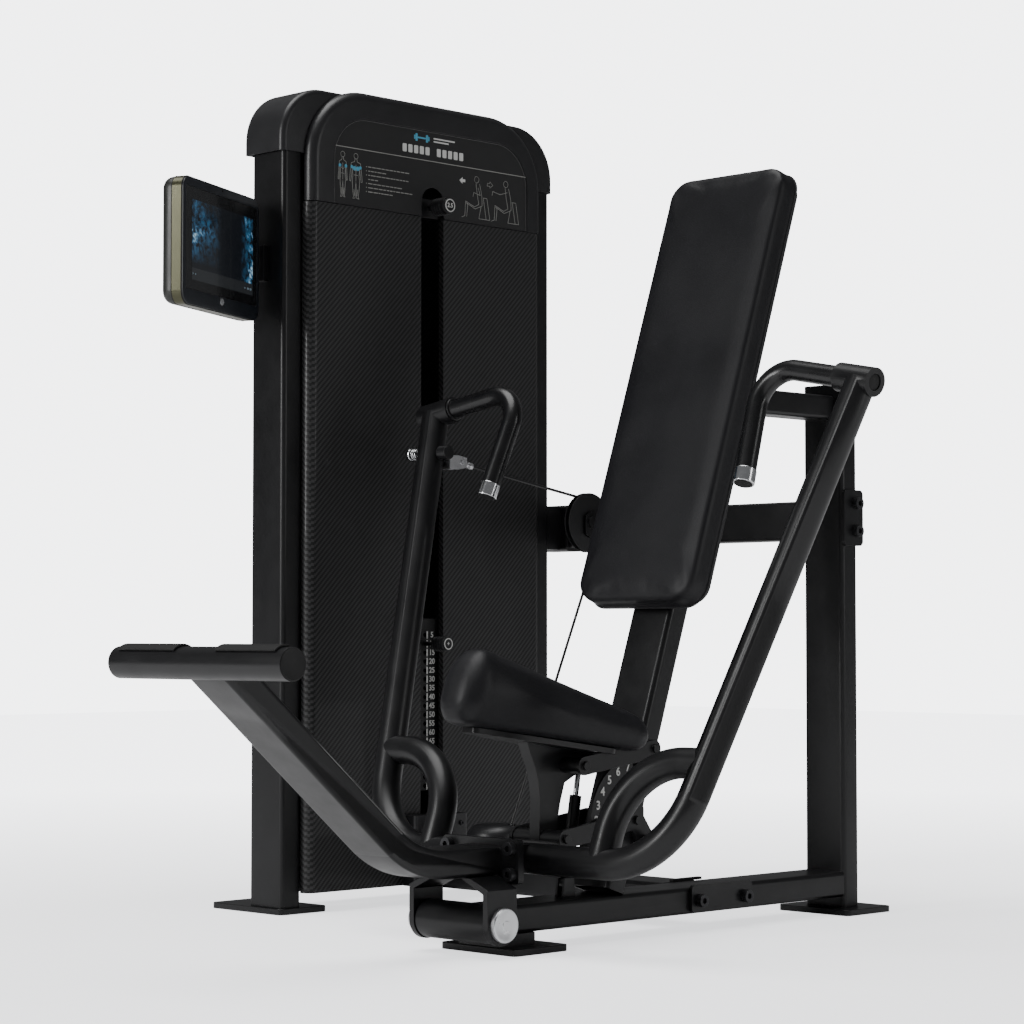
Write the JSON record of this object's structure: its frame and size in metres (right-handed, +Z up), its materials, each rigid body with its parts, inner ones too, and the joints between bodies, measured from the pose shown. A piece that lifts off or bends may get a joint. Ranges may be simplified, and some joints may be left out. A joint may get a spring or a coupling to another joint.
{
  "type": "chest press machine",
  "caption": "Seated chest press: weight tower with pulleys and cable, hinged press frame with grips and foot bar, adjustable seat, back pad and swivelling screen.",
  "frame": {"origin": "underside of the front foot plate at the seat's mid plane, on the floor", "axes": "+Z up, -Y the way the user faces, tower on the -X side"},
  "size_m": [1.5116, 1.7199, 1.677],
  "materials": {
    "frame": "satin powder coat",
    "shroud": "woven carbon look under clear coat",
    "covers": "fine moulded texture",
    "upholstery": "soft vinyl",
    "grips": "smooth rubber",
    "rubber": "ribbed rubber",
    "chrome": "polished",
    "brushed": "turned",
    "bolts": "dark zinc",
    "plates": "black paint",
    "knobs": "moulded",
    "pulleys": "moulded nylon",
    "cable": "nylon coated wire rope",
    "screen_case": "satin"
  },
  "bodies": {
    "root": {"floor_feet": "frame", "base_beam": "frame", "base_cross_member": "frame", "clamp_plates": "frame", "rear_upright": "frame", "back_support": "frame", "upper_cross_beam": "frame", "frame_bolts": "bolts", "tower_frame": "frame", "guide_rods": "chrome", "stack_buffers": "rubber", "resting_plates": "plates", "shroud_panel_left": "shroud", "shroud_panel_right": "shroud", "rear_shroud": "shroud", "front_cap": "shroud", "rear_cap": "frame", "entry_cover": "covers", "upper_pulley_bracket": "frame", "lower_pulley_yoke": "frame", "pulley_cover": "covers", "tower_pulley_hangers": "frame", "pad_board": "covers", "back_pad": "upholstery", "seat_quadrant": "frame", "screen_bracket": "frame", "cable_main": "cable", "cable_drop": "cable", "lift_strut": "frame"},
    "press_frame": {"press_arms": "frame", "lower_tube": "frame", "frame_gussets": "frame", "handles": "grips", "grip_caps": "chrome", "clevis_plates": "frame", "pivot_pin": "brushed", "foot_lever": "frame", "foot_pads": "rubber", "lever_bolts": "bolts", "cable_fork": "frame"},
    "arm_pin": {"arm_pin": "chrome"},
    "cable_end": {"cable_terminal": "chrome"},
    "cable_guide": {"cable_front": "cable"},
    "cable_ball": {"cable_stop": "chrome"},
    "upper_pulley": {"upper_pulley": "pulleys"},
    "lower_pulley": {"lower_pulley": "pulleys"},
    "tower_pulley": {"tower_pulley": "pulleys"},
    "top_pulley": {"top_pulley": "pulleys"},
    "stack": {"stack_head": "plates", "lifted_plates": "plates"},
    "selector_pin": {"selector_pin": "knobs"},
    "increment_weight": {"increment_weight": "knobs"},
    "screen": {"screen": "screen_case"},
    "home_button": {"home_button": "chrome"},
    "seat_lower_link": {"seat_lower_link": "frame"},
    "seat_upper_link": {"seat_upper_link": "frame"},
    "seat": {"seat_carrier": "frame", "seat_pad": "upholstery"},
    "strut_rod": {"strut_rod": "chrome"},
    "seat_plunger": {"seat_plunger": "knobs"}
  },
  "joints": [
    {"name": "press_frame_hinge", "type": "hinge", "parent": "root", "child": "press_frame", "pos_m": [0, -0.107, 0.0576], "axis": [1, 0, 0], "range_deg": [0, 36]},
    {"name": "arm_pin_pull", "type": "slide", "parent": "press_frame", "child": "arm_pin", "axis": [1, 0, 0], "range_m": [0, 0.012], "stiffness_N_per_m": 400, "springref_m": -0.005},
    {"name": "cable_end_swivel", "type": "hinge", "parent": "press_frame", "child": "cable_end", "pos_m": [-0.5, 0.362, 0.904], "axis": [1, 0, 0], "range_deg": [-40, 1]},
    {"name": "cable_guide_turn", "type": "hinge", "parent": "root", "child": "cable_guide", "pos_m": [-0.5, 0.7487, 0.8414], "axis": [1, 0, 0], "range_deg": [-4, 1]},
    {"name": "cable_pay_out", "type": "slide", "parent": "cable_guide", "child": "cable_ball", "axis": [0, -0.9871, 0.1598], "range_m": [-0.002, 0.605], "deforming": ["cable_front"]},
    {"name": "upper_pulley_spin", "type": "hinge", "parent": "root", "child": "upper_pulley", "pos_m": [-0.5, 0.741, 0.794], "axis": [1, 0, 0], "range_deg": [-2, 740]},
    {"name": "lower_pulley_spin", "type": "hinge", "parent": "root", "child": "lower_pulley", "pos_m": [-0.53, 0.4935, 0.1237], "axis": [0, 0.9128, -0.4085], "range_deg": [-1150, 2]},
    {"name": "tower_pulley_spin", "type": "hinge", "parent": "root", "child": "tower_pulley", "pos_m": [-0.812, 0.48, 0.1419], "axis": [0, 1, 0], "range_deg": [-760, 2]},
    {"name": "top_pulley_spin", "type": "hinge", "parent": "root", "child": "top_pulley", "pos_m": [-0.812, 0.48, 1.532], "axis": [0, 1, 0], "range_deg": [-760, 2]},
    {"name": "stack_lift", "type": "slide", "parent": "root", "child": "stack", "axis": [0, 0, 1], "range_m": [-0.001, 0.605], "deforming": ["cable_drop"]},
    {"name": "selector_pin_pull", "type": "slide", "parent": "stack", "child": "selector_pin", "axis": [1, 0, 0], "range_m": [0, 0.07]},
    {"name": "increment_weight_drop", "type": "slide", "parent": "root", "child": "increment_weight", "axis": [0, 0, -1], "range_m": [0, 0.2]},
    {"name": "screen_swivel", "type": "hinge", "parent": "root", "child": "screen", "pos_m": [-0.849, 0.024, 1.3135], "axis": [0, 0, 1], "range_deg": [-30, 0]},
    {"name": "home_button_press", "type": "slide", "parent": "screen", "child": "home_button", "axis": [-0.9041, -0.4274, 0], "range_m": [0, 0.0015], "stiffness_N_per_m": 300},
    {"name": "seat_height", "type": "hinge", "parent": "root", "child": "seat_lower_link", "pos_m": [0, 0.275, 0.218], "axis": [-1, 0, 0], "range_deg": [-2, 30]},
    {"name": "seat_upper_turn", "type": "hinge", "parent": "root", "child": "seat_upper_link", "pos_m": [0, 0.325, 0.347], "axis": [-1, 0, 0], "range_deg": [-2.5, 30.5]},
    {"name": "seat_level", "type": "hinge", "parent": "seat_lower_link", "child": "seat", "pos_m": [0, 0.088, 0.193], "axis": [-1, 0, 0], "range_deg": [-30.5, 2.5]},
    {"name": "strut_extend", "type": "slide", "parent": "root", "child": "strut_rod", "axis": [0, 0.1702, 0.9854], "range_m": [-0.02, 0.105]},
    {"name": "seat_plunger_pull", "type": "slide", "parent": "seat_lower_link", "child": "seat_plunger", "axis": [1, 0, 0], "range_m": [0, 0.012], "stiffness_N_per_m": 500, "springref_m": -0.004}
  ],
  "couplings": [
    {"joint": "cable_end_swivel", "follows": "press_frame_hinge", "ratio": -1.0301},
    {"joint": "cable_guide_turn", "follows": "press_frame_hinge", "ratio": -0.03014},
    {"joint": "cable_pay_out", "follows": "press_frame_hinge", "m_per_rad": 0.9516},
    {"joint": "upper_pulley_spin", "follows": "press_frame_hinge", "ratio": 19.825},
    {"joint": "lower_pulley_spin", "follows": "press_frame_hinge", "ratio": -31.72},
    {"joint": "tower_pulley_spin", "follows": "press_frame_hinge", "ratio": -20.687},
    {"joint": "top_pulley_spin", "follows": "press_frame_hinge", "ratio": -20.687},
    {"joint": "stack_lift", "follows": "press_frame_hinge", "m_per_rad": 0.9516},
    {"joint": "seat_upper_turn", "follows": "seat_height", "ratio": 1},
    {"joint": "seat_level", "follows": "seat_height", "ratio": -1},
    {"joint": "strut_extend", "follows": "seat_height", "m_per_rad": 0.1864}
  ]
}
